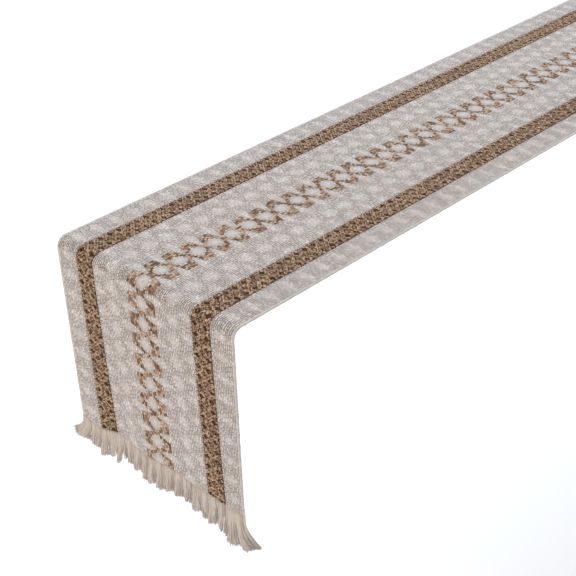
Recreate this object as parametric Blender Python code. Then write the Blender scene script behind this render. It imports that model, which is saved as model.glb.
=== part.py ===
"""Woven table runner, draped over a table with both ends hanging.

Axes: +X runs along the runner from the front end to the back end, +Y is its left side seen from the
front, +Z is up. The origin is the middle of the underside, where the cloth lies on the table top.

Every lengthwise piece is first made flat, as the runner lies when it is spread out: X is the distance
along the cloth from its middle, Y is across and Z is the height above the table. It is then cut at
the stations of the two folds and wrapped over the table's edges by drape().
"""
import math

import bmesh
import bpy
from mathutils import Matrix, Vector

# Driving dimensions, in metres.
TABLE_SPAN = 1.365            # between the two end faces of the table that carries the runner
EDGE_RADIUS = 0.012           # bend of the cloth's underside over the table's edge
CLOTH_LENGTH = 1.915          # woven cloth laid flat, without the fringes
CLOTH_WIDTH = 0.330           # over both selvedges
CLOTH_THICKNESS = 0.0016

SELVEDGE_WIDTH = 0.005        # corded edge on each long side
SELVEDGE_THICKNESS = 0.0022

STRIPE_WIDTH = 0.0360         # brown band
STRIPE_INSET = 0.0385         # from the cloth's long edge to the band
CHAIN_WIDTH = 0.0530          # over the buds of the diamond chain
CHAIN_PITCH = 0.0303          # from one diamond to the next
CHAIN_SHIFT = 0.0186          # from the runner's middle to a diamond, towards the back
BUD_LENGTH = 0.0155           # of a bud along its outer edge
NECK_WIDTH = 0.008            # of the chain where two diamonds cross
DIAMOND_WIDTH = 0.0236        # open middle of a diamond
DIAMOND_LENGTH = 0.0248
DIAMOND_BULGE = 0.85          # between a rhomb's 0.71 and an ellipse's 1
PATTERN_THICKNESS = 0.0006    # raised pattern yarns, on the face of the cloth

HEM_DEPTH = 0.012             # turned up on the inner side of each end
HEM_THICKNESS = 0.0010
STITCH_ROW = 0.0020           # from the cloth's end to the middle of the row of stitches
STITCH_WIDTH = 0.0010
STITCH_THICKNESS = 0.0005
STITCH_MARGIN = 0.0060        # from the selvedge to the row's ends
TAPE_DEPTH = 0.008            # heading tape that carries the tassels
TAPE_THICKNESS = 0.0008
TAPE_DROP = 0.0010            # how far the tape shows below the cloth

TASSEL_COUNT = 16             # at each end
TASSEL_LENGTH = 0.0440        # from the cloth's end to the tips
CORNER_EXTRA = 0.0080         # how much longer the tassel at each corner is
TASSEL_NECK_THICKNESS = 0.0022
TASSEL_TIP_THICKNESS = 0.0060
TASSEL_NECK_SHARE = 0.72      # neck width over tip width
TASSEL_SIDES = 10
TASSEL_RINGS = 3
TASSEL_RAGGED = 0.0030        # how much the tassels' lengths differ
RAGGED_STEP = 2.4             # turn of the wave that gives each tassel its length, in radians
CORNER_SPLAY = math.radians(14)   # outward lean of the tassel at each corner
NEXT_SPLAY = math.radians(5)      # and of the one beside it

PIECE_GAP = 0.0003            # between pieces that lie on each other or side by side
FOLD_GAP = 0.0006             # between the hanging part and the part on the table
SWING_GAP = 0.0026            # from the tape to the tassels' necks, which turn under it
TASSEL_GAP = 0.0012           # between neighbouring tassels at their tips
FOLD_STEPS = 8                # facets of a quarter turn
SHARP_ANGLE = math.radians(40)    # edges sharper than this stay sharp when shaded
AXIS_MARK = 0.03              # shown length of the empty on each hinge

# Worked out from the driving dimensions.
FLAT_HALF = TABLE_SPAN / 2 - EDGE_RADIUS              # flat cloth on each side of the middle
BEND_RADIUS = EDGE_RADIUS + CLOTH_THICKNESS / 2       # of the cloth's middle layer
BEND_LENGTH = BEND_RADIUS * math.pi / 2
FOLD_AT = FLAT_HALF + BEND_LENGTH / 2                 # the crease, along the cloth from its middle
CLOTH_END = CLOTH_LENGTH / 2
HEM_LEVEL = -EDGE_RADIUS - (CLOTH_END - FLAT_HALF - BEND_LENGTH)   # height of the hanging hems
PATTERN_LOW = CLOTH_THICKNESS + PIECE_GAP
PATTERN_TOP = PATTERN_LOW + PATTERN_THICKNESS
PATTERN_END = CLOTH_END - STITCH_ROW - STITCH_WIDTH / 2 - PIECE_GAP
GROUND_HALF = CLOTH_WIDTH / 2 - SELVEDGE_WIDTH - PIECE_GAP

# Each end: its name, and the way it points along X.
ENDS = (("front", -1), ("back", 1))
SIDES = (("left", 1), ("right", -1))

COLOURS = {
    "cream_weave": ((0.62, 0.56, 0.50, 1), 0.95),
    "cream_selvedge": ((0.58, 0.52, 0.46, 1), 0.95),
    "brown_weave": ((0.20, 0.13, 0.08, 1), 0.95),
    "tan_weave": ((0.36, 0.24, 0.16, 1), 0.95),
    "cream_fringe": ((0.60, 0.52, 0.43, 1), 0.95),
    "sewing_thread": ((0.66, 0.60, 0.53, 1), 0.70),
}


def clear_scene():
    for old in list(bpy.data.objects):
        bpy.data.objects.remove(old, do_unlink=True)


def make_material(name):
    colour, roughness = COLOURS[name]
    material = bpy.data.materials.new(name)
    material.use_nodes = True
    shader = material.node_tree.nodes["Principled BSDF"]
    shader.inputs["Base Color"].default_value = colour
    shader.inputs["Roughness"].default_value = roughness
    shader.inputs["Metallic"].default_value = 0.0
    return material


def drape(point):
    """Where a point of the flat runner lies once the cloth hangs over the table's edges."""
    along, across, height = point
    side = math.copysign(1, along)
    past_flat = abs(along) - FLAT_HALF
    if past_flat <= 0:
        return Vector((along, across, height))
    angle = min(past_flat / BEND_RADIUS, math.pi / 2)
    reach = EDGE_RADIUS + height
    hanging = max(past_flat - BEND_LENGTH, 0)
    x = FLAT_HALF + reach * math.sin(angle)
    z = -EDGE_RADIUS + reach * math.cos(angle) - hanging
    return Vector((side * x, across, z))


def cut_across(bm, along, keep=0):
    """Cuts flat geometry across at one place. keep is 1 or -1 for the part past or before it."""
    geometry = bm.verts[:] + bm.edges[:] + bm.faces[:]
    cut = bmesh.ops.bisect_plane(
        bm, geom=geometry, plane_co=(along, 0, 0), plane_no=(1, 0, 0),
        clear_inner=keep > 0, clear_outer=keep < 0,
    )
    if keep:
        open_edges = [part for part in cut["geom_cut"] if isinstance(part, bmesh.types.BMEdge)]
        bmesh.ops.holes_fill(bm, edges=open_edges)


def wrap(bm):
    """Cuts the flat geometry at the folds' stations and hangs it over the table's edges."""
    for side in (-1, 1):
        for step in range(FOLD_STEPS + 1):
            cut_across(bm, side * (FLAT_HALF + BEND_LENGTH * step / FOLD_STEPS))
    bmesh.ops.triangulate(bm, faces=bm.faces[:])
    for vertex in bm.verts:
        vertex.co = drape(vertex.co)


def add_object(name, bm, material, collection, parent=None):
    """Makes the object. Its parent, if it has one, is the empty on the axis that it turns about."""
    bmesh.ops.recalc_face_normals(bm, faces=bm.faces[:])
    mesh = bpy.data.meshes.new(name)
    bm.to_mesh(mesh)
    bm.free()
    mesh.shade_smooth()
    mesh.set_sharp_from_angle(angle=SHARP_ANGLE)
    mesh.materials.append(material)
    obj = bpy.data.objects.new(name, mesh)
    collection.objects.link(obj)
    if parent:
        obj.parent = parent
        obj.matrix_parent_inverse = Matrix.Translation(parent.location).inverted()
    return obj


def flat_box(low, high):
    """A box between two corners, in the flat runner's frame."""
    bm = bmesh.new()
    size = Vector(high) - Vector(low)
    middle = (Vector(high) + Vector(low)) / 2
    bmesh.ops.create_cube(bm, size=1)
    bmesh.ops.scale(bm, vec=size, verts=bm.verts)
    bmesh.ops.translate(bm, vec=middle, verts=bm.verts)
    return bm


def strip(name, along, across, height, material, collection, parent=None):
    """One lengthwise strip of the runner. along, across and height are (low, high) pairs."""
    bm = flat_box(*zip(along, across, height, strict=True))
    wrap(bm)
    return add_object(name, bm, material, collection, parent)


def closed_spline(curve, points):
    spline = curve.splines.new("POLY")
    spline.points.add(len(points) - 1)
    for target, (along, across) in zip(spline.points, points, strict=True):
        target.co = (along, across, 0, 1)
    spline.use_cyclic_u = True


def diamond_middle(number):
    return CHAIN_SHIFT + number * CHAIN_PITCH


def chain_outline(first, last):
    """Outer edge of the lattice: a bud stands out at each diamond, with a notch between two."""
    edge = []
    for number in range(first, last + 1):
        middle = diamond_middle(number)
        edge.append((middle - CHAIN_PITCH / 2, NECK_WIDTH / 2))
        edge.append((middle - BUD_LENGTH / 2, CHAIN_WIDTH / 2))
        edge.append((middle + BUD_LENGTH / 2, CHAIN_WIDTH / 2))
    edge.append((diamond_middle(last) + CHAIN_PITCH / 2, NECK_WIDTH / 2))
    return edge + [(along, -across) for along, across in reversed(edge)]


def diamond_outline(number):
    """The open middle of one diamond, a rounded rhomb of eight points."""
    middle = diamond_middle(number)
    points = []
    for step in range(8):
        angle = step * math.pi / 4
        bulge = DIAMOND_BULGE if step % 2 else 1.0
        points.append((
            middle + bulge * DIAMOND_LENGTH / 2 * math.cos(angle),
            bulge * DIAMOND_WIDTH / 2 * math.sin(angle),
        ))
    return points


def chain(name, start, end, material, collection, parent=None):
    """The diamond chain between two places along the cloth, cut from the endless pattern."""
    first = math.floor((start - CHAIN_SHIFT) / CHAIN_PITCH + 0.5)
    last = math.ceil((end - CHAIN_SHIFT) / CHAIN_PITCH - 0.5)
    curve = bpy.data.curves.new(name, "CURVE")
    curve.dimensions = "2D"
    curve.fill_mode = "BOTH"
    curve.extrude = PATTERN_THICKNESS / 2
    closed_spline(curve, chain_outline(first, last))
    for number in range(first, last + 1):
        closed_spline(curve, diamond_outline(number))
    flat = bpy.data.objects.new(name + "_outline", curve)
    collection.objects.link(flat)
    bpy.context.view_layer.update()
    filled = bpy.data.meshes.new_from_object(flat.evaluated_get(bpy.context.evaluated_depsgraph_get()))
    bm = bmesh.new()
    bm.from_mesh(filled)
    bpy.data.objects.remove(flat)
    bmesh.ops.remove_doubles(bm, verts=bm.verts, dist=1e-6)
    bmesh.ops.translate(bm, vec=(0, 0, (PATTERN_LOW + PATTERN_TOP) / 2), verts=bm.verts)
    cut_across(bm, start, keep=1)
    cut_across(bm, end, keep=-1)
    wrap(bm)
    return add_object(name, bm, material, collection, parent)


def lengthwise_pieces(place, start, end, pattern_start, pattern_end, materials, collection, parent=None):
    """Ground cloth, bands, chain and selvedges over one stretch of the runner."""
    strip(
        f"ground_cloth_{place}", (start, end), (-GROUND_HALF, GROUND_HALF), (0, CLOTH_THICKNESS),
        materials["cream_weave"], collection, parent,
    )
    outer = CLOTH_WIDTH / 2
    for side, way in SIDES:
        band = sorted((way * (outer - STRIPE_INSET - STRIPE_WIDTH), way * (outer - STRIPE_INSET)))
        strip(
            f"{side}_stripe_{place}", (pattern_start, pattern_end), band, (PATTERN_LOW, PATTERN_TOP),
            materials["brown_weave"], collection, parent,
        )
        edge = sorted((way * (outer - SELVEDGE_WIDTH), way * outer))
        strip(
            f"{side}_selvedge_{place}", (start, end), edge, (0, SELVEDGE_THICKNESS),
            materials["cream_selvedge"], collection, parent,
        )
    chain(f"diamond_chain_{place}", pattern_start, pattern_end, materials["tan_weave"], collection, parent)


def end_finish(end, way, materials, collection, parent):
    """The turned-up hem, its row of stitches and the heading tape, at one hanging end."""
    half = CLOTH_WIDTH / 2
    hem_along = sorted((way * (CLOTH_END - HEM_DEPTH), way * CLOTH_END))
    hem_top = -PIECE_GAP
    hem_low = hem_top - HEM_THICKNESS
    strip(
        f"{end}_end_hem", hem_along, (-half, half), (hem_low, hem_top),
        materials["cream_weave"], collection, parent,
    )
    tape_end = CLOTH_END + TAPE_DROP
    tape_along = sorted((way * (tape_end - TAPE_DEPTH), way * tape_end))
    tape_top = hem_low - PIECE_GAP
    strip(
        f"{end}_fringe_tape", tape_along, (-half, half), (tape_top - TAPE_THICKNESS, tape_top),
        materials["cream_fringe"], collection, parent,
    )
    row = CLOTH_END - STITCH_ROW
    row_along = sorted((way * (row - STITCH_WIDTH / 2), way * (row + STITCH_WIDTH / 2)))
    row_half = half - SELVEDGE_WIDTH - STITCH_MARGIN
    row_low = CLOTH_THICKNESS + PIECE_GAP
    strip(
        f"{end}_hem_stitching", row_along, (-row_half, row_half), (row_low, row_low + STITCH_THICKNESS),
        materials["sewing_thread"], collection, parent,
    )


def from_corner(number):
    """How many tassels stand between this one and the nearer corner."""
    return min(number, TASSEL_COUNT - 1 - number)


def splay_of(number):
    """Sideways lean of a tassel, to the left as positive: only the two nearest each corner lean."""
    lean = {0: CORNER_SPLAY, 1: NEXT_SPLAY}.get(from_corner(number), 0)
    return lean if number < TASSEL_COUNT / 2 else -lean


def tassel(name, number, hinge, material, collection):
    """One bundle of yarns: a flat cone that widens from its neck under the tape to its tips."""
    pitch = CLOTH_WIDTH / TASSEL_COUNT
    tip_width = pitch - TASSEL_GAP
    neck_width = tip_width * TASSEL_NECK_SHARE
    ragged = TASSEL_RAGGED * (1 + math.sin(RAGGED_STEP * number)) / 2
    extra = 0 if from_corner(number) else CORNER_EXTRA
    length = TASSEL_LENGTH + extra - TAPE_DROP - SWING_GAP - ragged
    bm = bmesh.new()
    bmesh.ops.create_cone(
        bm, cap_ends=True, segments=TASSEL_SIDES, radius1=0.5, radius2=0.5, depth=length,
    )
    for ring in range(1, TASSEL_RINGS + 1):
        level = length / 2 - length * ring / (TASSEL_RINGS + 1)
        bmesh.ops.bisect_plane(
            bm, geom=bm.verts[:] + bm.edges[:] + bm.faces[:], plane_co=(0, 0, level), plane_no=(0, 0, 1),
        )
    lean = math.tan(splay_of(number)) * length
    for vertex in bm.verts:
        down = 0.5 - vertex.co.z / length
        thick = TASSEL_NECK_THICKNESS + (TASSEL_TIP_THICKNESS - TASSEL_NECK_THICKNESS) * down
        wide = neck_width + (tip_width - neck_width) * down
        vertex.co.x *= thick
        vertex.co.y = vertex.co.y * wide + lean * down
    top = -TAPE_DROP - SWING_GAP
    bmesh.ops.translate(bm, vec=(0, 0, -length / 2), verts=bm.verts)
    across = CLOTH_WIDTH / 2 - pitch * (number + 0.5)
    bmesh.ops.translate(bm, vec=hinge.location + Vector((0, across, top)), verts=bm.verts)
    add_object(name, bm, material, collection, hinge)


def hinge_empty(name, location, collection):
    """An empty on a hinge's axis, for the pieces that turn about it."""
    empty = bpy.data.objects.new(name, None)
    empty.empty_display_size = AXIS_MARK
    empty.location = location
    collection.objects.link(empty)
    return empty


def fold_axis(way):
    """The crease's axis: half way round the bend, on the outermost surface of the pattern."""
    reach = EDGE_RADIUS + PATTERN_TOP
    level = -EDGE_RADIUS + reach * math.cos(math.pi / 4)
    return Vector((way * (FLAT_HALF + reach * math.sin(math.pi / 4)), 0, level))


def fringe_axis(way):
    """The fringe's axis: along the end of the cloth, in the middle of the hem, tape and cloth."""
    inner = -2 * PIECE_GAP - HEM_THICKNESS - TAPE_THICKNESS
    return Vector((way * (TABLE_SPAN / 2 + (CLOTH_THICKNESS + inner) / 2), 0, HEM_LEVEL))


def build():
    clear_scene()
    collection = bpy.data.collections.new("table_runner")
    bpy.context.scene.collection.children.link(collection)
    materials = {name: make_material(name) for name in COLOURS}

    top_end = FOLD_AT - FOLD_GAP / 2
    lengthwise_pieces("top", -top_end, top_end, -top_end, top_end, materials, collection)
    for end, way in ENDS:
        fold = hinge_empty(f"{end}_fold_axis", fold_axis(way), collection)
        near = way * (FOLD_AT + FOLD_GAP / 2)
        cloth = sorted((near, way * CLOTH_END))
        pattern = sorted((near, way * PATTERN_END))
        lengthwise_pieces(f"{end}_drop", *cloth, *pattern, materials, collection, fold)
        end_finish(end, way, materials, collection, fold)
        hinge = hinge_empty(f"{end}_fringe_axis", fringe_axis(way), collection)
        for number in range(TASSEL_COUNT):
            tassel(f"{end}_tassel_{number + 1:02d}", number, hinge, materials["cream_fringe"], collection)


build()
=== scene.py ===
import math
import bmesh
import bpy
import numpy as np
from mathutils import Matrix, Vector


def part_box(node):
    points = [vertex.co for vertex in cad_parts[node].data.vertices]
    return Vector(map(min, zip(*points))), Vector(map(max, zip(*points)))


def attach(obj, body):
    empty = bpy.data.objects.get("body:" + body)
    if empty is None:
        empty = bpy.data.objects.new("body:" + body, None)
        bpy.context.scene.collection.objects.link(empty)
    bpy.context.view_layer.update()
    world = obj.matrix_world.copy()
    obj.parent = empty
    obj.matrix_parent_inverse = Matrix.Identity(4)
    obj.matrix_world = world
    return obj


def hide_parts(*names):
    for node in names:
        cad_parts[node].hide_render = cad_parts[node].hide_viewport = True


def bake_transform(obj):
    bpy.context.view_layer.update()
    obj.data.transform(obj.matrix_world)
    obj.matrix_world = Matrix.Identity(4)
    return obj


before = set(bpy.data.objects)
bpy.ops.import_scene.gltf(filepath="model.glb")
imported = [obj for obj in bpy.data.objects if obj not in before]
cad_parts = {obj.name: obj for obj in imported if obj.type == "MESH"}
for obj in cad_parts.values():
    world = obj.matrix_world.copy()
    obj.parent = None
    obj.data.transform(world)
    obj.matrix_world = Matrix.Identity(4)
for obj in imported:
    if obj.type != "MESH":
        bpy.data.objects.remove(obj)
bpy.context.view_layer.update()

# Lengths are in metres. A flat point is (along the runner, across it, height above the table),
# and hangFlat puts it where it lies once the runner hangs over the table's two ends.
random = np.random.default_rng(12)
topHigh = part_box("ground_cloth_top")[1]
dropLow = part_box("ground_cloth_front_drop")[0]
ends = {"front": -1, "back": 1}
sides = {"left": 1, "right": -1}


# the runner's cut and how it hangs
runner = {
    "thickness": topHigh.z,
    "edgeRadius": 0.012,        # the table's eased edge
    "hemLevel": dropLow.z,
    "halfWidth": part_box("left_selvedge_top")[1].y,
    "drift": 0.0056,            # the weave wanders this far to the right by the hem
    "rightDrift": 0.0045,       # and the right stripe this much more
    "taper": 0.024,             # the hanging end draws in by this share at its hem
    "cornerDroop": 0.0045,      # the hem's left corner hangs lower
    "hemWave": 0.0022,
    "billow": 0.0022,           # gentle in and out waves of the hanging end
}
runner["flatHalf"] = -dropLow.x - runner["thickness"] - runner["edgeRadius"]
runner["bendRadius"] = runner["edgeRadius"] + runner["thickness"] / 2
runner["bendLength"] = runner["bendRadius"] * math.pi / 2
runner["hanging"] = -runner["hemLevel"] - runner["edgeRadius"]
runner["end"] = runner["flatHalf"] + runner["bendLength"] + runner["hanging"]


def smoothStep(low, high, value):
    t = np.clip((value - low) / (high - low), 0, 1)
    return t * t * (3 - 2 * t)


def hangFlat(points):
    along, across, height = points.T
    side = np.where(along < 0, -1, 1)
    past = np.clip(np.abs(along) - runner["flatHalf"], 0, None)
    angle = np.clip(past / runner["bendRadius"], 0, math.pi / 2)
    hanging = np.clip(past - runner["bendLength"], 0, None)
    share = hanging / runner["hanging"]
    reach = runner["edgeRadius"] + height
    x = np.minimum(np.abs(along), runner["flatHalf"]) + reach * np.sin(angle)
    z = reach * np.cos(angle) - runner["edgeRadius"] - hanging
    z = np.where(past > 0, z, height)
    # the edges hang straight, the weave between them wanders
    inner = 1 - smoothStep(0.125, runner["halfWidth"], np.abs(across))
    wander = runner["drift"] + runner["rightDrift"] * smoothStep(0.03, 0.10, -across)
    y = across * (1 - runner["taper"] * share ** 1.2) - wander * inner * share ** 1.5
    x = x + runner["billow"] * share ** 2 * np.sin(across * 52 + 0.9)
    wave = runner["hemWave"] * np.sin(across * 68 + 2.3)
    droop = runner["cornerDroop"] * smoothStep(0.09, runner["halfWidth"], across)
    z = z + (wave - droop) * share ** 3
    return np.column_stack((side * x, y, z))


def makeObject(name, mesh, material):
    piece = bpy.data.objects.new(name, mesh)
    bpy.context.scene.collection.objects.link(piece)
    mesh.materials.clear()
    mesh.materials.append(material)
    return piece


def readPoints(mesh):
    points = np.empty(len(mesh.vertices) * 3)
    mesh.vertices.foreach_get("co", points)
    return points.reshape(-1, 3)


def writePoints(mesh, points):
    mesh.vertices.foreach_set("co", np.ascontiguousarray(points, dtype=np.float32).ravel())
    mesh.update()


def addNumbers(mesh, name, values):
    mesh.attributes.new(name, "FLOAT", "POINT").data.foreach_set("value", np.asarray(values, np.float32))


def flatMap(mesh, points):
    corners = np.empty(len(mesh.loops), int)
    mesh.loops.foreach_get("vertex_index", corners)
    uv = np.ascontiguousarray(points[corners][:, :2], dtype=np.float32)
    mesh.uv_layers.new(name="flat").data.foreach_set("uv", uv.ravel())


def shadeSmooth(mesh, sharp=50):
    mesh.shade_smooth()
    mesh.set_sharp_from_angle(angle=math.radians(sharp))


def slabSheet(name, low, high, across, step, thickness, base=0.0):
    # a flat closed sheet from low to high along the runner, between two distances across it
    bm = bmesh.new()
    rows = max(2, round((high - low) / step[0]))
    columns = max(2, round((across[1] - across[0]) / step[1]))
    bmesh.ops.create_grid(bm, x_segments=rows, y_segments=columns, size=0.5)
    bmesh.ops.scale(bm, vec=(high - low, across[1] - across[0], 1), verts=bm.verts)
    bmesh.ops.translate(bm, vec=((low + high) / 2, sum(across) / 2, base), verts=bm.verts)
    lifted = bmesh.ops.extrude_face_region(bm, geom=bm.faces[:])["geom"]
    raised = [part for part in lifted if isinstance(part, bmesh.types.BMVert)]
    bmesh.ops.translate(bm, vec=(0, 0, thickness), verts=raised)
    bmesh.ops.recalc_face_normals(bm, faces=bm.faces)
    mesh = bpy.data.meshes.new(name)
    bm.to_mesh(mesh)
    bm.free()
    return mesh


def makeCopies(unit, count):
    # a mesh that holds the unit count times over, all in one place until each is laid
    holder = bpy.data.objects.new("copies", unit)
    bpy.context.scene.collection.objects.link(holder)
    repeat = holder.modifiers.new("repeat", "ARRAY")
    repeat.count = count
    repeat.use_relative_offset = False
    shown = holder.evaluated_get(bpy.context.evaluated_depsgraph_get())
    mesh = bpy.data.meshes.new_from_object(shown)
    bpy.data.objects.remove(holder)
    return mesh


def joinMeshes(name, first, second):
    # both meshes in one, with their maps and numbers
    bm = bmesh.new()
    bm.from_mesh(first)
    bm.from_mesh(second)
    mesh = bpy.data.meshes.new(name)
    bm.to_mesh(mesh)
    bm.free()
    return mesh


def linearColour(code):
    parts = [int(code[place:place + 2], 16) / 255 for place in (0, 2, 4)]
    return [part / 12.92 if part <= 0.04045 else ((part + 0.055) / 1.055) ** 2.4 for part in parts] + [1]


def addNode(material, kind, settings=(), links=()):
    # settings are properties or input values by name, links are (input, node, output)
    node = material.node_tree.nodes.new(kind)
    for name, value in dict(settings).items():
        if isinstance(name, str) and hasattr(node, name):
            setattr(node, name, value)
        else:
            node.inputs[name].default_value = value
    for target, source, output in links:
        material.node_tree.links.new(source.outputs[output], node.inputs[target])
    return node


def newMaterial(name, roughness, sheen):
    material = bpy.data.materials.new(name)
    material.use_nodes = True
    shader = material.node_tree.nodes["Principled BSDF"]
    shader.inputs["Roughness"].default_value = roughness
    shader.inputs["IOR"].default_value = 1.47
    shader.inputs["Sheen Weight"].default_value = sheen
    shader.inputs["Sheen Roughness"].default_value = 0.6
    shader.inputs["Specular IOR Level"].default_value = 0.25
    return material, shader


def setRamp(node, stops):
    ramp = node.color_ramp
    while len(ramp.elements) < len(stops):
        ramp.elements.new(0.5)
    for element, (place, code) in zip(ramp.elements, stops):
        element.position = place
        element.color = linearColour(code)


def joinTo(material, shader, colour=None, normal=None):
    if colour:
        material.node_tree.links.new(colour.outputs[0], shader.inputs["Base Color"])
    if normal:
        material.node_tree.links.new(normal.outputs["Normal"], shader.inputs["Normal"])


def bandScale(gap):
    # the Scale at which a wave texture's bands are this far apart
    return math.pi / 10 / gap


plainWeave = {
    "threadGap": 0.0021,        # real threads are nearer 1.2 mm apart, too fine to show
    "dash": (0.0075, 0.0010),   # length and width of the little shadows between the threads
    "dashShare": (0.55, 0.62),  # of the noise, from light thread to shadow: close together is crisp
    "dashDark": 0.70,
    "shadow": "877c73",         # in the valleys between the raised floats
    "puff": "c0b8b1",
    "chainShadow": "6f5440",
    "relief": 0.0004,
}


def makePlainWeave():
    # plain woven cotton and linen: matt, with over and under threads and short shadows between them
    material, shader = newMaterial("woven_cotton_linen_cream", 0.92, 0.15)
    puff = addNode(material, "ShaderNodeAttribute", {"attribute_name": "puff"})
    brown = addNode(material, "ShaderNodeAttribute", {"attribute_name": "brown"})
    place = addNode(material, "ShaderNodeTexCoord")
    # painted shade: the valleys between the raised floats take the dark shadow colour, the crowns of the puffs the
    # pale one
    cream = addNode(material, "ShaderNodeMix", {"data_type": "RGBA"}, [(0, puff, "Fac")])
    cream.inputs[6].default_value = linearColour(plainWeave["shadow"])
    cream.inputs[7].default_value = linearColour(plainWeave["puff"])
    # under the chain and the stripes the cloth takes chainShadow: the brown yarn in painted shade between the floats
    both = addNode(material, "ShaderNodeMix", {"data_type": "RGBA"}, [(0, brown, "Fac"), (6, cream, 2)])
    both.inputs[7].default_value = linearColour(plainWeave["chainShadow"])
    long, wide = plainWeave["dash"]
    drawn = addNode(material, "ShaderNodeMapping", {"Scale": (1 / long, 1 / wide, 1)}, [("Vector", place, "UV")])
    spread = addNode(material, "ShaderNodeTexNoise", {"Scale": 1.0, "Detail": 2}, [("Vector", drawn, 0)])
    pale, dark = plainWeave["dashShare"]
    dashes = addNode(material, "ShaderNodeMapRange", {
        "From Min": pale, "From Max": dark, "To Min": 1.03, "To Max": plainWeave["dashDark"],
    }, [("Value", spread, "Fac")])
    colour = addNode(material, "ShaderNodeMix", {"data_type": "RGBA", "blend_type": "MULTIPLY", 0: 1.0},
                     [(6, both, 2), (7, dashes, 0)])
    material.node_tree.links.new(colour.outputs[2], shader.inputs["Base Color"])
    wave = {"Scale": bandScale(2 * plainWeave["threadGap"]), "Distortion": 1.2, "Detail": 1}
    warp = addNode(material, "ShaderNodeTexWave", {**wave, "bands_direction": "X"}, [("Vector", place, "UV")])
    weft = addNode(material, "ShaderNodeTexWave", {**wave, "bands_direction": "Y"}, [("Vector", place, "UV")])
    weave = addNode(material, "ShaderNodeMath", {"operation": "MULTIPLY"}, [(0, warp, "Fac"), (1, weft, "Fac")])
    bump = addNode(material, "ShaderNodeBump", {"Strength": 0.8, "Distance": plainWeave["relief"]},
                   [("Height", weave, "Value")])
    joinTo(material, shader, normal=bump)
    return material


yarn = {
    "fleck": 0.0011,            # the fibres' light and dark flecks; real ones are half as long
    "fleckShare": 0.5,
    "floatLength": 0.006,       # what one float's map stands for
    "plyGap": 0.0020,           # from ply to ply along the yarn
    "plySlope": 0.7,
    "plyRelief": 0.0003,
}


def makeYarn(name, stops, roughness=0.88, sheen=0.2):
    # spun yarn: a ramp over each float's own tone, finer flecks, and plies that wind round it
    material, shader = newMaterial(name, roughness, sheen)
    tone = addNode(material, "ShaderNodeAttribute", {"attribute_name": "tone"})
    place = addNode(material, "ShaderNodeTexCoord")
    fleck = addNode(material, "ShaderNodeTexNoise", {"Scale": 1 / yarn["fleck"], "Detail": 2},
                    [("Vector", place, "Object")])
    mixed = addNode(material, "ShaderNodeMath", {"operation": "MULTIPLY_ADD", 1: yarn["fleckShare"]},
                    [(0, fleck, "Fac"), (2, tone, "Fac")])
    lowered = addNode(material, "ShaderNodeMath", {"operation": "SUBTRACT", 1: yarn["fleckShare"] / 2},
                      [(0, mixed, "Value")])
    ramp = addNode(material, "ShaderNodeValToRGB", (), [("Fac", lowered, "Value")])
    setRamp(ramp, stops)
    turned = addNode(material, "ShaderNodeMapping", {"Rotation": (0, 0, yarn["plySlope"])},
                     [("Vector", place, "UV")])
    gap = yarn["plyGap"] / yarn["floatLength"]
    plies = addNode(material, "ShaderNodeTexWave", {"Scale": bandScale(gap), "Distortion": 0.6},
                    [("Vector", turned, 0)])
    bump = addNode(material, "ShaderNodeBump", {"Strength": 0.5, "Distance": yarn["plyRelief"]},
                   [("Height", plies, "Fac")])
    joinTo(material, shader, ramp, bump)
    return material


materials = {
    # plain weave, matt and slightly uneven, with grey painted shade in its valleys
    "ground": makePlainWeave(),
    # undyed cotton, loosely spun: pale, soft and a little hairy
    "float": makeYarn("spun_cotton_yarn_cream", [(0, "ada49c"), (0.5, "cac2bc"), (1, "dad3ce")]),
    # the same cream yarn, a little darker than the floats
    "selvedge": makeYarn("corded_selvedge_yarn_cream", [(0, "a0968e"), (0.5, "bab1a9"), (1, "cdc5be")]),
    # dyed jute, dry and flecked
    "chain": makeYarn("spun_jute_yarn_tan", [(0, "4c3725"), (0.45, "967860"), (1, "d6bda6")], 0.9, 0.08),
    # thick jute, tan with nearly black umber spots
    "stripe": makeYarn("chunky_jute_yarn_tan_and_umber", [(0, "2d1a0b"), (0.4, "7f6249"), (1, "c9ab8f")], 0.9, 0.06),
    # the dark cloth under it, deep brown and without gloss
    "stripeGround": makeYarn("woven_umber_yarn", [(0, "28180b"), (0.5, "3c2919"), (1, "4f3723")], 0.95, 0.0),
    # unspun ends of the warp: warmer and soft, with painted shade in the grooves of the ruffle
    "fringe": makeYarn("frayed_cotton_yarn_ecru", [(0, "93847a"), (0.5, "c5b8ab"), (1, "d7ccc2")]),
    # smooth sewing thread, with a faint gloss
    "thread": makeYarn("sewing_thread_cream", [(0, "a59a90"), (1, "c8beb5")], 0.7),
}
print("materials made")


chainLow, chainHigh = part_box("diamond_chain_top")
stripeLow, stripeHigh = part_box("left_stripe_top")

weave = {
    "pitch": 0.0303,            # from one diamond to the next
    "shift": 0.0186,            # from the runner's middle to a diamond
    "columnGap": 0.0575,        # between neighbouring chains, which the cream cloth repeats tone on tone
    "yarnGap": 0.0575 / 18,     # between the pattern yarns
    "halfWidth": chainHigh.y,   # of a chain, at its buds
    "budLength": 0.0155,
    "neck": 0.0054,             # half the chain's width where two diamonds cross
    "eye": (0.0119, 0.0116),    # half width and half length of the diamonds' open middles
    "creamEye": (0.0124, 0.0126),
    "bulge": 1.65,              # 1 is a rhomb, 2 an ellipse
    "notchCurve": 0.50,         # 1 is a plain triangle between two buds, less is wider
    "floatLength": (0.0045, 0.0085),
    "floatWidth": (0.0018, 0.0030),    # cream ones, with dark lines of shadow between the narrow ones
    "puffWidth": 0.0009,        # and wider, so that they close up, on the puffs
    "floatRise": 0.00065,
    "puffRise": 0.0004,
    "creamPuff": 0.7,           # of that where the cloth is cream all over
    "puffTone": 0.22,           # and how much paler the yarns are there
    "margin": 0.0032,           # of the cloth's edge without floats
}
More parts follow.
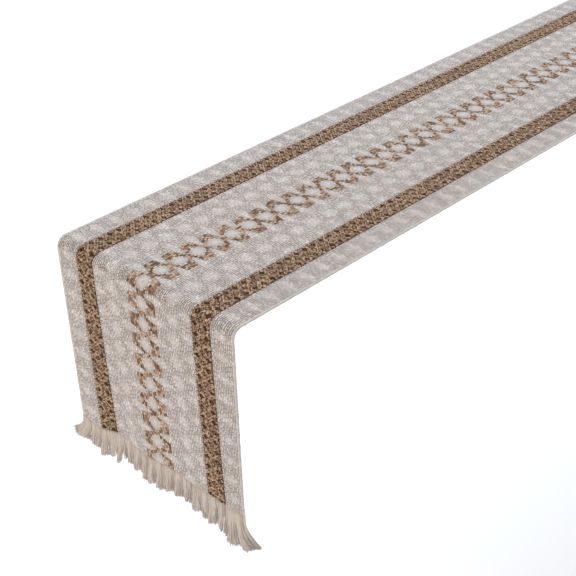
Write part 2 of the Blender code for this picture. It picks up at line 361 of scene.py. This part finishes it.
# brown yarns packed close, and paler calm ones that fill the diamonds' open middles
chainYarn = {"length": (0.0030, 0.0052), "width": 0.0031, "rise": 0.00065, "lift": 0.00022, "tone": (0.05, 0.95)}
eyeYarn = {"length": (0.0040, 0.0070), "width": 0.0033, "rise": 0.00045, "lift": 0.00010, "tone": (0.3, 0.75)}


def eyeHalf(u, eye):
    # half length of a diamond's open middle at a distance from the chain's centre line
    inside = np.clip(1 - (np.abs(u) / eye[0]) ** weave["bulge"], 0, 1)
    return eye[1] * inside ** (1 / weave["bulge"])


def chainHalf(u):
    # half length of the chain's outline there: the buds' flat ends and the notches between them
    notch = (weave["pitch"] - weave["budLength"]) / 2
    share = np.clip((np.abs(u) - weave["neck"]) / (weave["halfWidth"] - weave["neck"]), 0, 1)
    return weave["pitch"] / 2 - notch * share ** weave["notchCurve"]


def patternPlace(along, across):
    # distance from the nearest chain's centre line, and from the nearest diamond along it
    gap = weave["columnGap"]
    u = (across / gap + 0.5) % 1 * gap - gap / 2
    v = ((along - weave["shift"]) / weave["pitch"] + 0.5) % 1 * weave["pitch"] - weave["pitch"] / 2
    return u, v


def inStripe(across, spare=-0.002):
    return (np.abs(across) > stripeLow.y - spare) & (np.abs(across) < stripeHigh.y + spare)


def puffShare(along, across):
    # 1 on the crown of each smooth puff of plain weave, 0 in the valleys where the floats lie
    u, v = patternPlace(along, across)
    middle = np.abs(across) < weave["columnGap"] / 2
    wide = np.where(middle, weave["eye"][0], weave["creamEye"][0])
    long = np.where(middle, weave["eye"][1], weave["creamEye"][1])
    eye = 1 - (np.abs(u) / wide) ** weave["bulge"] - (np.abs(v) / long) ** weave["bulge"]
    notchWide = weave["columnGap"] / 2 - weave["neck"]
    notchLong = (weave["pitch"] - weave["budLength"]) / 2 + 0.0012
    awayU = weave["columnGap"] / 2 - np.abs(u)
    awayV = weave["pitch"] / 2 - np.abs(v)
    notch = 1 - awayU / notchWide - awayV / notchLong
    share = np.clip(np.maximum(eye, notch), 0, 1) ** 0.6
    inEye = middle & (eye > 0)
    share = np.where(inEye, share, weave["creamPuff"] * share)
    return np.where(inStripe(across, 0.001), 0, share)


def eyeShare(along, across):
    # 1 inside the open middles of the brown chain's diamonds
    u, v = patternPlace(along, across)
    inside = (np.abs(v) < eyeHalf(u, weave["eye"])) & (np.abs(across) < weave["columnGap"] / 2)
    return np.where(inside, 1.0, 0.0)


def brownShare(along, across):
    u, v = patternPlace(along, across)
    inside = (np.abs(v) > eyeHalf(u, weave["eye"])) & (np.abs(v) < chainHalf(u))
    chain = inside & (np.abs(across) < weave["halfWidth"] + 0.0005)
    return np.where(inStripe(across, -0.0032) | chain, 1.0, 0.0)


def makeFloatUnit():
    # a short barrel of yarn along X, one unit long each way, with its crown up and its ends tucked down
    bm = bmesh.new()
    bmesh.ops.create_uvsphere(bm, u_segments=6, v_segments=3, radius=1, calc_uvs=True)
    bmesh.ops.rotate(bm, matrix=Matrix.Rotation(math.pi / 2, 3, "Y"), verts=bm.verts)
    for vertex in bm.verts:
        if abs(vertex.co.x) < 0.9:
            vertex.co.x *= 1.5
            vertex.co.y *= 1.12
            vertex.co.z *= 1.12
    mesh = bpy.data.meshes.new("float unit")
    bm.to_mesh(mesh)
    bm.free()
    return mesh


floatUnit = makeFloatUnit()


def layFloats(floats, dip=0.00055):
    # floats holds along, across, height, length, width, rise, turn and tone, one row for each float
    floats = np.array(floats)
    mesh = makeCopies(floatUnit, len(floats))
    unit = readPoints(floatUnit)
    along, across, height, length, width, rise, turn, tone = floats.T[:, :, None]
    x = unit[:, 0] * length / 2
    y = unit[:, 1] * width / 2
    z = height + unit[:, 2] * rise - dip * unit[:, 0] ** 2
    points = np.stack((
        along + x * np.cos(turn) - y * np.sin(turn),
        across + x * np.sin(turn) + y * np.cos(turn),
        z,
    ), axis=-1).reshape(-1, 3)
    writePoints(mesh, points)
    addNumbers(mesh, "tone", np.repeat(tone.ravel(), len(unit)))
    mesh.shade_smooth()
    return mesh


def brownRuns(u):
    # where one yarn of the brown chain shows, measured from a diamond's middle
    outer, inner = float(chainHalf(u)), float(eyeHalf(u, weave["eye"]))
    if inner > 0 and abs(u) <= weave["neck"]:
        return [(inner, weave["pitch"] - inner)]    # right across from one diamond into the next
    if inner > 0:
        return [(-outer, -inner), (inner, outer)]
    return [(-outer, outer)]


def eyeRuns(u):
    # where one cream yarn shows in a diamond's open middle
    inner = float(eyeHalf(u, weave["eye"]))
    return [(-inner, inner)]


def diamondFloats(way, out, runs, look):
    # the floats of every diamond on one side of one half of the runner
    floats = []
    for step in range(round(weave["halfWidth"] / weave["yarnGap"] - 0.01)):
        across = out * (step + 0.5) * weave["yarnGap"]
        for number in range(-34, 34):
            middle = weave["shift"] + number * weave["pitch"]
            for start, stop in runs(across):
                while stop - start > 0.0016:
                    length = random.uniform(*look["length"])
                    if stop - start - length < 0.0022:
                        length = stop - start
                    along = middle + start + length / 2
                    start += length
                    if along * way < 0 or abs(along) + length / 2 > runner["end"] - 0.0015:
                        continue
                    floats.append((
                        along, across + random.normal(0, 0.00015), runner["thickness"] + look["lift"],
                        length, look["width"], look["rise"] * random.uniform(0.8, 1.2),
                        random.normal(0, 0.04), random.uniform(*look["tone"]),
                    ))
    return floats


def creamFloats(way, out):
    # the cream yarns on one side of the middle, row by row, broken by the stripes and the chain
    floats = []
    for step in range(int(runner["halfWidth"] / weave["yarnGap"])):
        across = out * (step + 0.5) * weave["yarnGap"]
        if inStripe(across, -0.0007) or abs(across) > runner["halfWidth"] - weave["margin"]:
            continue
        # the first float reaches over the middle, so that no seam shows between the two halves
        start = -random.uniform(0.2, 0.5) * weave["floatLength"][0]
        while start < runner["end"] - 0.002:
            length = min(random.uniform(*weave["floatLength"]), runner["end"] - 0.0015 - start)
            along = way * (start + length / 2)
            start += length
            reach = np.linspace(along - length / 2, along + length / 2, 9)
            free = reach[brownShare(reach, across) + eyeShare(reach, across) < 0.5]
            if len(free) < 3:
                continue
            if len(free) < 9:
                along, length = (free[0] + free[-1]) / 2, free[-1] - free[0]
            puff = float(puffShare(along, across))
            floats.append((
                along, across + random.normal(0, 0.0002), runner["thickness"] + weave["puffRise"] * puff, length,
                random.uniform(*weave["floatWidth"]) + weave["puffWidth"] * puff, weave["floatRise"] * random.uniform(0.8, 1.2),
                random.normal(0, 0.05), random.uniform(0.05, 0.85) + weave["puffTone"] * puff,
            ))
    return floats


stripe = {
    "pitch": 0.01515,           # from one dark spot to the next along the stripe
    "laneAt": 0.0094,           # the spots stand in two rows, this far from the stripe's middle
    "yarns": 3,                 # chunky yarns side by side in each bar of the lattice
    "yarnGap": 0.0018,
    "yarnWidth": 0.0021,
    "rise": 0.0010,
    "base": 0.0003,
    "inset": 0.0018,            # of the outermost yarns from the stripe's edges
    "ragged": 0.0012,           # of the dark ground from the outermost yarns
    "flecked": 0.6,
    "tick": (0.0030, 0.0012),   # length and width of the dark ticks along both edges
    "speck": (0.0032, 0.0021),  # and of the specks where the lattice's bars cross
}


def stripeBar(floats, start, stop, most, height):
    # one bar of the lattice, from one crossing to the next, cut off past a distance across it
    way = np.subtract(stop, start)
    length = math.hypot(*way)
    way, turn = way / length, math.atan2(way[1], way[0])
    for yarn in range(stripe["yarns"]):
        aside = (yarn - (stripe["yarns"] - 1) / 2) * stripe["yarnGap"]
        slide = random.uniform(-0.12, 0.12)
        for part in range(3):
            share = (part + 0.5 + slide) / 3
            along = start[0] + way[0] * length * share - way[1] * aside + random.normal(0, 0.0002)
            across = start[1] + way[1] * length * share + way[0] * aside + random.normal(0, 0.0002)
            if abs(across) > most - random.uniform(0, stripe["ragged"]):
                continue
            floats.append([
                along, across, height + random.normal(0, 0.00015), length / 3 * 1.08,
                stripe["yarnWidth"] * random.uniform(0.85, 1.1), stripe["rise"] * random.uniform(0.8, 1.15),
                turn + random.normal(0, 0.16), random.uniform(0.22, 0.95),
            ])


def stripeFloats(way, centre, most):
    floats = []
    pitch, lane = stripe["pitch"], stripe["laneAt"]
    height = runner["thickness"] + stripe["base"] + 0.0003
    first = -3 if way > 0 else -round(runner["end"] / pitch) - 2
    for number in range(first, first + round(runner["end"] / pitch) + 6):
        middle = weave["shift"] + number * pitch
        for down in (-1, 1):
            for out in (-1, 1):
                corner = (middle + down * pitch / 2, out * lane)
                stripeBar(floats, (middle, 0), corner, most - 0.0004, height)
                stripeBar(floats, corner, (middle, out * 2 * lane), most - 0.0004, height)
            # a fleck of yarn shows in some of the dark cells
            if random.random() < stripe["flecked"]:
                floats.append([middle + random.normal(0, 0.0008), down * lane + random.normal(0, 0.0008), height,
                               0.0030, 0.0016, stripe["rise"] * 0.8, random.normal(0, 0.5),
                               random.uniform(0.2, 0.7)])
            # the cell between the two rows of spots is nearly filled
            floats.append([middle + pitch / 2, down * 0.0012, height, 0.0036, 0.0020, stripe["rise"], 0,
                           random.uniform(0.3, 0.8)])
        for along, across in ((0, 0), (pitch / 2, lane), (pitch / 2, -lane)):
            floats.append([
                middle + along + random.normal(0, 0.0005), across + random.normal(0, 0.0005), height + 0.0005,
                *stripe["speck"], stripe["rise"], math.pi / 2 + random.normal(0, 0.4), random.uniform(0, 0.12),
            ])
        for quarter in range(4):
            for out in (-1, 1):
                floats.append([
                    middle + (quarter - 1.5) * pitch / 4, out * (most - 0.0004), height - 0.0002,
                    *stripe["tick"], 0.0007, math.pi / 2 + random.normal(0, 0.2), random.uniform(0.05, 0.3),
                ])
    kept = [row for row in floats if row[0] * way >= 0 and abs(row[0]) < runner["end"] - 0.004]
    for row in kept:
        row[1] += centre
    return kept


def finishPiece(piece, end, slot, *nodes):
    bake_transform(piece)
    if nodes:
        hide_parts(*nodes)
    return piece


def spanOf(way, far=0.0):
    return (0, runner["end"] - far) if way > 0 else (far - runner["end"], 0)


def makeGroundCloth(end, way):
    low, high = spanOf(way)
    half = runner["halfWidth"] - 0.0012
    step = (weave["pitch"] / 12, weave["yarnGap"])
    mesh = slabSheet(f"{end}_ground_cloth", low, high, (-half, half), step, runner["thickness"])
    points = readPoints(mesh)
    puff = puffShare(points[:, 0], points[:, 1])
    nearEnd = smoothStep(0.000, 0.004, runner["end"] - np.abs(points[:, 0]))
    addNumbers(mesh, "puff", puff)
    addNumbers(mesh, "brown", brownShare(points[:, 0], points[:, 1]) * (nearEnd > 0.3))
    flatMap(mesh, points)
    points[:, 2] += weave["puffRise"] * puff * nearEnd * (points[:, 2] > 0)
    writePoints(mesh, hangFlat(points))
    shadeSmooth(mesh)
    piece = makeObject(f"{end}_ground_cloth", mesh, materials["ground"])
    return finishPiece(piece, end, "cream_weave", "ground_cloth_top", f"ground_cloth_{end}_drop")


def makeRaisedWeave(end, way, side):
    floats = creamFloats(way, sides[side]) + diamondFloats(way, sides[side], eyeRuns, eyeYarn)
    mesh = layFloats(floats)
    writePoints(mesh, hangFlat(readPoints(mesh)))
    print(end, side, "raised weave:", len(floats), "floats")
    piece = makeObject(f"{end}_{side}_raised_weave", mesh, materials["float"])
    return finishPiece(piece, end, "cream_weave")


def makeDiamondChain(end, way):
    floats = [row for out in sides.values() for row in diamondFloats(way, out, brownRuns, chainYarn)]
    mesh = layFloats(floats, dip=0.0003)
    writePoints(mesh, hangFlat(readPoints(mesh)))
    piece = makeObject(f"{end}_diamond_chain", mesh, materials["chain"])
    return finishPiece(piece, end, "tan_weave", "diamond_chain_top", f"diamond_chain_{end}_drop")


def makeStripe(end, way, side):
    low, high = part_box(f"{side}_stripe_top")
    low, high = low.y + stripe["inset"], high.y - stripe["inset"]
    span = spanOf(way, 0.003)
    ground = (low + stripe["ragged"], high - stripe["ragged"])
    base = slabSheet("stripe base", *span, ground, (0.004, 0.003), stripe["base"],
                     runner["thickness"] + 0.0001)
    addNumbers(base, "tone", random.uniform(0.3, 0.7, len(base.vertices)))
    floats = stripeFloats(way, (low + high) / 2, (high - low) / 2)
    yarns = layFloats(floats, dip=0.0006)
    mesh = joinMeshes(f"{end}_{side}_stripe", base, yarns)
    bottom = len(base.polygons)
    piece = makeObject(mesh.name, mesh, materials["stripe"])
    mesh.materials.append(materials["stripeGround"])
    kinds = np.zeros(len(mesh.polygons), int)
    kinds[:bottom] = 1
    mesh.polygons.foreach_set("material_index", kinds)
    writePoints(mesh, hangFlat(readPoints(mesh)))
    mesh.shade_smooth()
    print(end, side, "stripe:", len(floats), "floats")
    return finishPiece(piece, end, "brown_weave", f"{side}_stripe_top", f"{side}_stripe_{end}_drop")


selvedge = {"width": 0.0038, "loopGap": 0.0030, "thickness": 0.0017}


def makeSelvedge(end, way, side):
    out = sides[side]
    outer = out * runner["halfWidth"]
    inner = outer - out * selvedge["width"]
    span = spanOf(way, 0.0005)
    band = tuple(sorted((inner, outer - out * 0.0008)))
    cord = slabSheet("selvedge cord", *span, band, (0.004, 0.0015), selvedge["thickness"], 0.0)
    addNumbers(cord, "tone", random.uniform(0.3, 0.6, len(cord.vertices)))
    count = int(runner["end"] / selvedge["loopGap"])
    floats = []
    for number in range(count):
        along = way * (number + 0.5) * selvedge["loopGap"]
        floats.append((
            along, (inner + outer) / 2 + random.normal(0, 0.00025), 0.0011, selvedge["width"] * 1.02,
            selvedge["loopGap"] * 1.02, 0.0011, math.pi / 2 + random.normal(0, 0.12), random.uniform(0.3, 0.8),
        ))
    loops = layFloats(floats, dip=0.0001)
    mesh = joinMeshes(f"{end}_{side}_selvedge", cord, loops)
    writePoints(mesh, hangFlat(readPoints(mesh)))
    mesh.shade_smooth()
    piece = makeObject(mesh.name, mesh, materials["selvedge"])
    return finishPiece(piece, end, "cream_selvedge", f"{side}_selvedge_top", f"{side}_selvedge_{end}_drop")


hem = {"depth": 0.012, "thickness": 0.0010, "tapeDepth": 0.0085, "tapeThickness": 0.0008, "gap": 0.0003,
       "stitchGap": 0.0042, "stitchAt": 0.0030}


def makeHem(end, way):
    half = runner["halfWidth"] - 0.004
    pieces = []
    for name, slot, node, near, far, top, thick in (
        ("end_hem", "cream_weave", "end_hem", hem["depth"], 0.0002, -hem["gap"], hem["thickness"]),
        ("fringe_tape", "cream_fringe", "fringe_tape", hem["tapeDepth"] - 0.001, -0.0012,
         -2 * hem["gap"] - hem["thickness"], hem["tapeThickness"]),
    ):
        span = sorted((way * (runner["end"] - near), way * (runner["end"] - far)))
        mesh = slabSheet(f"{end}_{name}_cloth", *span, (-half, half), (0.003, 0.003), thick, top - thick)
        points = readPoints(mesh)
        addNumbers(mesh, "puff", np.full(len(points), 0.6))
        addNumbers(mesh, "brown", np.zeros(len(points)))
        addNumbers(mesh, "tone", random.uniform(0.3, 0.7, len(points)))
        flatMap(mesh, points)
        writePoints(mesh, hangFlat(points))
        shadeSmooth(mesh)
        material = materials["ground"] if name == "end_hem" else materials["fringe"]
        piece = makeObject(mesh.name, mesh, material)
        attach(piece, f"{end}_drop")
        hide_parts(f"{end}_{node}")
        pieces.append(piece)
    floats = []
    count = int((2 * half - 0.008) / hem["stitchGap"])
    for number in range(count):
        across = (number - (count - 1) / 2) * hem["stitchGap"]
        floats.append((
            way * (runner["end"] - hem["stitchAt"]), across, runner["thickness"] + 0.0003,
            hem["stitchGap"] * 0.8, 0.0011, 0.00045, math.pi / 2 + random.normal(0, 0.06),
            random.uniform(0.3, 0.8),
        ))
    mesh = layFloats(floats, dip=0.0003)
    writePoints(mesh, hangFlat(readPoints(mesh)))
    stitching = makeObject(f"{end}_hem_stitches", mesh, materials["thread"])
    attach(stitching, f"{end}_drop")
    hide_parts(f"{end}_hem_stitching")
    return pieces + [stitching]


fringe = {
    "count": 16,
    "strands": 110,             # enough that no light shows between them
    "rings": 6,
    "sides": 4,
    "yarn": 0.00072,            # radius near the top
    "tip": 0.00055,
    "gather": (0.02, 0.16),     # how far a clump's tips draw together
    "pointed": 3,               # one clump is drawn to a point
    "length": 0.0455,
    "cornerExtra": 0.020,       # the right corner's tassel is longer
    "leftExtra": 0.006,         # and the left corner's a little
    "ruffle": 0.0036,
    "crinkle": 0.0006,
    "lean": 0.10,               # all clumps hang a little towards the left
    "leftFlare": 0.54,          # the corners fan outwards
    "rightFlare": -0.68,
    "rightPower": 3.2,          # the right corner hangs straight first and then flares
    "bendOver": 0.012,          # the length over which the yarns would bend at the hem if they swung
}


def makeStrandUnit():
    # one yarn: a closed tube of unit radius, from 0 at its root to 1 at its tip
    bm = bmesh.new()
    bmesh.ops.create_cone(bm, cap_ends=True, segments=fringe["sides"], radius1=1, radius2=1, depth=1)
    bmesh.ops.translate(bm, vec=(0, 0, 0.5), verts=bm.verts)
    long = [edge for edge in bm.edges if abs(edge.verts[0].co.z - edge.verts[1].co.z) > 0.5]
    bmesh.ops.subdivide_edges(bm, edges=long, cuts=fringe["rings"] - 1)
    mesh = bpy.data.meshes.new("strand unit")
    bm.to_mesh(mesh)
    bm.free()
    return mesh


strandUnit = makeStrandUnit()


def makeTassel(end, way, number):
    node = f"{end}_tassel_{number + 1:02d}"
    width = 2 * runner["halfWidth"] / fringe["count"]
    middle = runner["halfWidth"] - (number + 0.5) * width
    fromCorner = min(number, fringe["count"] - 1 - number)
    count = fringe["strands"] + (30 if fromCorner == 0 else 0)
    gather = 0.85 if number == fringe["pointed"] else random.uniform(*fringe["gather"])
    if fromCorner == 0:
        gather = -0.15
    unit = readPoints(strandUnit)
    mesh = makeCopies(strandUnit, count)
    root = middle + (np.linspace(-0.5, 0.5, count)[:, None] + random.normal(0, 0.02, (count, 1))) * width * 1.04
    root = np.clip(root, -runner["halfWidth"] + 0.001, runner["halfWidth"] - 0.001)
    length = fringe["length"] + 0.0030 * np.sin(root * 61 + 1.1) + random.uniform(-0.0015, 0.0015)
    if number == fringe["pointed"]:
        length = length + 0.008
    length = length + fringe["cornerExtra"] * smoothStep(0.112, 0.135, -root) * (1 - smoothStep(0.142, 0.168, -root))
    length = length + fringe["leftExtra"] * smoothStep(0.140, 0.160, root)
    long = length * random.uniform(0.955, 1.015, (count, 1))
    depth = random.uniform(-0.0012, 0.0012, (count, 1))
    phase = random.uniform(0, 2 * math.pi, (count, 4))
    lean = (fringe["lean"] + fringe["leftFlare"] * smoothStep(0.125, 0.168, root)
            + fringe["rightFlare"] * smoothStep(0.128, 0.168, -root))
    t = unit[:, 2][None, :]
    radius = fringe["yarn"] + (fringe["tip"] - fringe["yarn"]) * t
    hemPoint = hangFlat(np.column_stack((
        np.full(count, way * runner["end"]), root[:, 0], np.full(count, runner["thickness"] * 0.3))))
    away = (root - middle) * gather * smoothStep(0.1, 1.0, t)
    y = hemPoint[:, 1:2] - away + lean * long * t ** np.where(root < -0.12, fringe["rightPower"], 1.6)
    y = y + fringe["crinkle"] * t * np.sin(9 * t + phase[:, :1]) + 0.001 * t ** 2 * np.sin(phase[:, 1:2])
    swell = 0.65 * np.sin(root * 370 + 0.6) + 0.5 * np.sin(root * 203 + 2.0)
    swell = fringe["ruffle"] * swell * smoothStep(0, 0.7, t)
    curl = 0.0012 * np.sin(phase[:, 2:3]) * t ** 2
    x = way * (np.abs(hemPoint[:, :1]) + depth + swell + curl + 0.0005 * t * np.sin(11 * t + phase[:, 3:4]))
    z = hemPoint[:, 2:3] + 0.0015 - long * t * (1 - 0.30 * np.abs(lean) * t)
    points = np.stack((
        x + radius * unit[:, 0],
        y + radius * unit[:, 1],
        z + 0 * unit[:, 0],
    ), axis=-1)
    writePoints(mesh, points.reshape(-1, 3))
    # each yarn's own random tone, plus painted light and shade that follow the ruffle: paler where it swells
    # outwards, darker in its grooves
    tone = np.clip(random.normal(0.5, 0.13, count) + 0.12 * np.sin(root[:, 0] * 370 + 0.6), 0, 1)
    addNumbers(mesh, "tone", np.repeat(tone, len(unit)))
    mesh.shade_smooth()
    piece = makeObject(f"{node}_yarns", mesh, materials["fringe"])
    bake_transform(piece)
    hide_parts(node)
    return piece


for end, way in ends.items():
    ground = makeGroundCloth(end, way)
    onIt = [makeDiamondChain(end, way)]
    onIt += [makeRaisedWeave(end, way, side) for side in sides]
    onIt += [makeStripe(end, way, side) for side in sides]
    onIt += [makeSelvedge(end, way, side) for side in sides]
    onIt += makeHem(end, way)
    onIt += [makeTassel(end, way, number) for number in range(fringe["count"])]
    print(end, "half made")

bpy.data.meshes.remove(floatUnit)
bpy.data.meshes.remove(strandUnit)


studio = {
    "floor": -0.76,             # a dining table's height below the runner
    "eye": (-1.4861, -1.0615, 0.7982),
    "aim": (-0.5738, -0.1447, 0.0),
    "roll": -2.12,
    "lens": 79.53,
    "world": 0.77,
}


def makeStudio():
    bm = bmesh.new()
    bmesh.ops.create_grid(bm, x_segments=1, y_segments=1, size=30)
    mesh = bpy.data.meshes.new("floor")
    bm.to_mesh(mesh)
    bm.free()
    pale, shader = newMaterial("painted_studio_floor_white", 0.9, 0.0)
    shader.inputs["Base Color"].default_value = linearColour("fcfcfc")
    floor = makeObject("floor", mesh, pale)
    floor.location.z = studio["floor"]

    for name, place, size, power, colour in (
        ("skylight", (0.9, 1.8, 2.4), 2.2, 73, "d9eaff"),
        ("window", (-2.6, 1.2, 0.9), 1.6, 24, "fff2e8"),
        ("fill", (-1.8, -2.4, 1.2), 2.4, 10, "ffffff"),
    ):
        light = bpy.data.lights.new(name, "AREA")
        light.size = size
        light.energy = power
        light.color = linearColour(colour)[:3]
        lamp = bpy.data.objects.new(name, light)
        lamp.location = place
        lamp.rotation_euler = (Vector((-0.3, 0, -0.05)) - Vector(place)).to_track_quat("-Z", "Y").to_euler()
        bpy.context.scene.collection.objects.link(lamp)

    world = bpy.data.worlds.new("studio")
    world.use_nodes = True
    world.node_tree.nodes["Background"].inputs["Color"].default_value = (1, 1, 1, 1)
    world.node_tree.nodes["Background"].inputs["Strength"].default_value = studio["world"]
    bpy.context.scene.world = world

    lens = bpy.data.cameras.new("camera")
    lens.lens = studio["lens"]
    lens.sensor_width = 36
    lens.clip_end = 100
    camera = bpy.data.objects.new("camera", lens)
    eye, aim = Vector(studio["eye"]), Vector(studio["aim"])
    turn = (aim - eye).to_track_quat("-Z", "Y").to_matrix().to_4x4()
    roll = Matrix.Rotation(math.radians(studio["roll"]), 4, "Z")
    camera.matrix_world = Matrix.Translation(eye) @ turn @ roll
    bpy.context.scene.collection.objects.link(camera)
    bpy.context.scene.camera = camera
    bpy.context.scene.view_settings.view_transform = "Standard"


makeStudio()
print("studio made")
